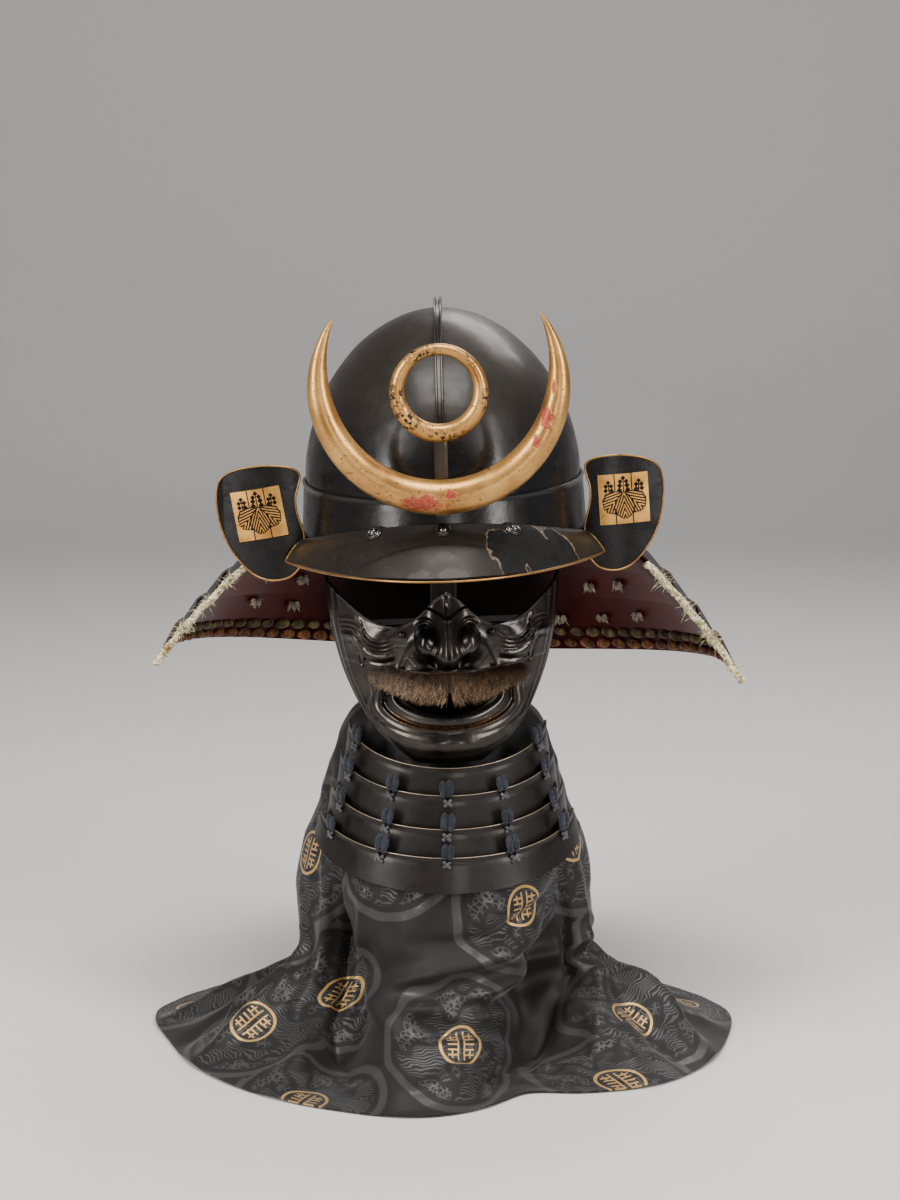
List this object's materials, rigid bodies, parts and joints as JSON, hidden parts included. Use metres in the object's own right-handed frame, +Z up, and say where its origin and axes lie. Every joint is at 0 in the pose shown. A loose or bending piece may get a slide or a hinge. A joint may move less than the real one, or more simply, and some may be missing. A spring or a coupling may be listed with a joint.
{
  "type": "samurai helmet with face mask and throat guard on a cloth-covered display stand",
  "caption": "Ridged iron helmet with crescent and ring crest, flared neck guard, half mask with moustache and throat guard, standing on a stand under a draped silk cloth.",
  "frame": {"origin": "middle of the stand's flat foot, on the surface that it stands on", "axes": "+Z up, the helmet faces -Y, +X to the right of someone looking at the mask"},
  "size_m": [0.4461, 0.408, 0.5629],
  "materials": {
    "black_lacquer": "worn black lacquer on iron, semi-gloss with matte brownish patches and scratches",
    "red_lacquer": "dark red lacquer inside, black lacquer outside",
    "rim_gold": "worn gold rim",
    "crest_gold": "satin old gold over lacquer, pitted and rubbed through",
    "dark_iron": "polished russet-black iron",
    "throat_lacquer": "satin dark brown-black lacquer with pale worn edges",
    "lacing_cord": "frayed cream braided silk cord",
    "knot_cord": "olive and orange-brown silk knots",
    "hair": "brown and grey hair",
    "cover_silk": "charcoal silk damask with woven gold roundels",
    "stand_wood": "plain waxed wood"
  },
  "bodies": {
    "root": {"bowl_shell": "black_lacquer", "bowl_ridge": "black_lacquer", "brow_band": "black_lacquer", "peak": "black_lacquer", "turn_back_left": "black_lacquer", "turn_back_right": "black_lacquer", "neck_lame_1": "red_lacquer", "neck_lame_2": "red_lacquer", "neck_lame_3": "red_lacquer", "neck_lame_4": "red_lacquer", "neck_lame_5": "red_lacquer", "peak_rim": "rim_gold", "crest_crescent": "crest_gold", "crest_ring": "crest_gold", "peak_rivet_1": "dark_iron", "peak_rivet_2": "dark_iron", "peak_rivet_3": "dark_iron", "crest_holder": "dark_iron", "mask_shell": "dark_iron", "mask_nose": "dark_iron", "mask_pin_left": "dark_iron", "mask_pin_right": "dark_iron", "throat_lame_1": "throat_lacquer", "throat_lame_2": "throat_lacquer", "throat_lame_3": "throat_lacquer", "throat_lame_4": "throat_lacquer", "edge_cord_left": "lacing_cord", "edge_cord_right": "lacing_cord", "knot_band": "knot_cord", "moustache": "hair", "stand_cover": "cover_silk", "display_stand": "stand_wood", "stand_post": "stand_wood", "mask_bar": "stand_wood"}
  },
  "joints": []
}
